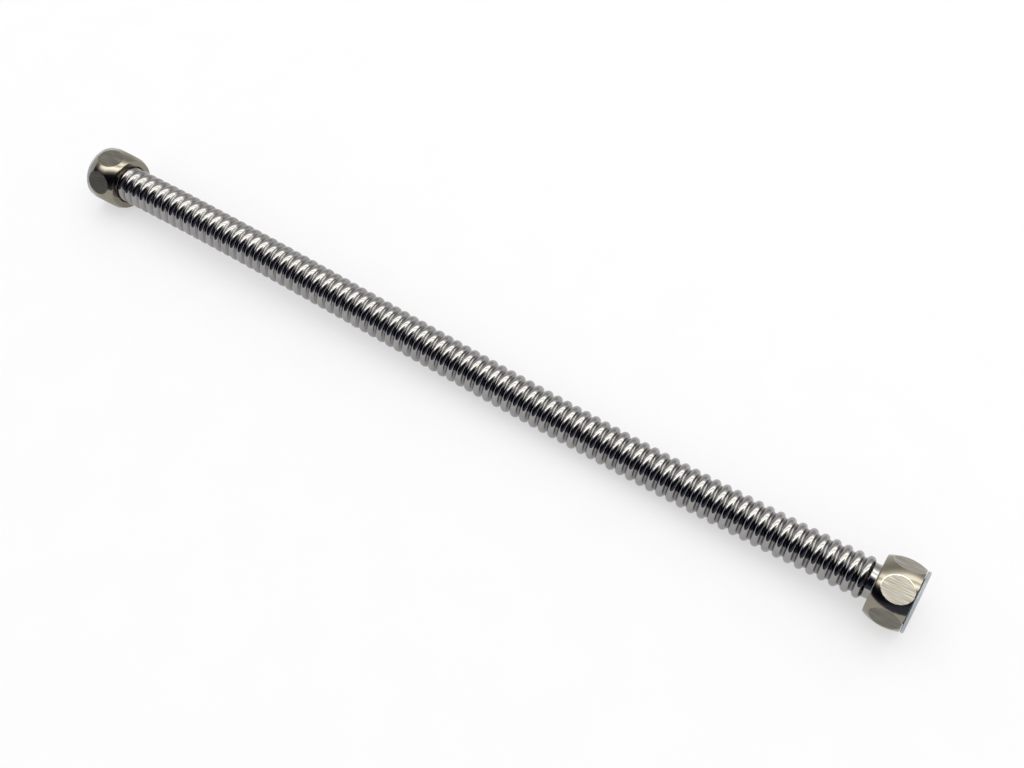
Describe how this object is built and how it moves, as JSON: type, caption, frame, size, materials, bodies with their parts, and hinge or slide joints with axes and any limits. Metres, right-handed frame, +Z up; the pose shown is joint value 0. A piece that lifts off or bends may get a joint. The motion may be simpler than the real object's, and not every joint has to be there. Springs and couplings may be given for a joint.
{
  "type": "corrugated stainless steel hose",
  "caption": "Short corrugated steel hose, gently bent, lying flat, with a crowned hexagonal union nut and a thin dust cap at each end.",
  "frame": {"origin": "on the surface that the hose lies on, under the middle of its box", "axes": "+X from the left nut to the right nut, along the hose's length; +Z up; +Y away from the side that the picture was taken from"},
  "size_m": [0.4048, 0.027, 0.0268],
  "materials": {
    "stainless_steel": "bright, almost mirror-like formed sheet",
    "nickel_plated_brass": "satin nickel plating, warm grey, with milled flats brushed along the nut",
    "spring_steel": "plain drawn wire, dull",
    "gasket_rubber": "matte black",
    "clear_blue_plastic": "thin translucent polyethylene, grey-blue"
  },
  "bodies": {
    "hose": {"corrugated_tube": "stainless_steel", "left_gasket": "gasket_rubber", "right_gasket": "gasket_rubber"},
    "left_ring": {"left_retaining_ring": "spring_steel"},
    "left_nut": {"left_union_nut": "nickel_plated_brass"},
    "left_cap": {"left_dust_cap": "clear_blue_plastic"},
    "right_ring": {"right_retaining_ring": "spring_steel"},
    "right_nut": {"right_union_nut": "nickel_plated_brass"},
    "right_cap": {"right_dust_cap": "clear_blue_plastic"}
  },
  "joints": [
    {"name": "left_nut_slide", "type": "slide", "parent": "hose", "child": "left_ring", "axis": [-0.9991, 0, -0.0429], "range_m": [0, 0.0043]},
    {"name": "left_nut_turn", "type": "hinge", "parent": "left_ring", "child": "left_nut", "pos_m": [-0.19379, 0, 0.01266], "axis": [-0.9991, 0, -0.0429], "continuous": true},
    {"name": "left_cap_pull", "type": "slide", "parent": "left_nut", "child": "left_cap", "axis": [-0.9991, 0, -0.0429], "range_m": [0, 0.03]},
    {"name": "right_nut_slide", "type": "slide", "parent": "hose", "child": "right_ring", "axis": [0.9971, 0, 0.0758], "range_m": [-0.0043, 0]},
    {"name": "right_nut_turn", "type": "hinge", "parent": "right_ring", "child": "right_nut", "pos_m": [0.18911, 0, 0.01306], "axis": [0.9971, 0, 0.0758], "continuous": true},
    {"name": "right_cap_pull", "type": "slide", "parent": "right_nut", "child": "right_cap", "axis": [0.9971, 0, 0.0758], "range_m": [0, 0.03]}
  ]
}
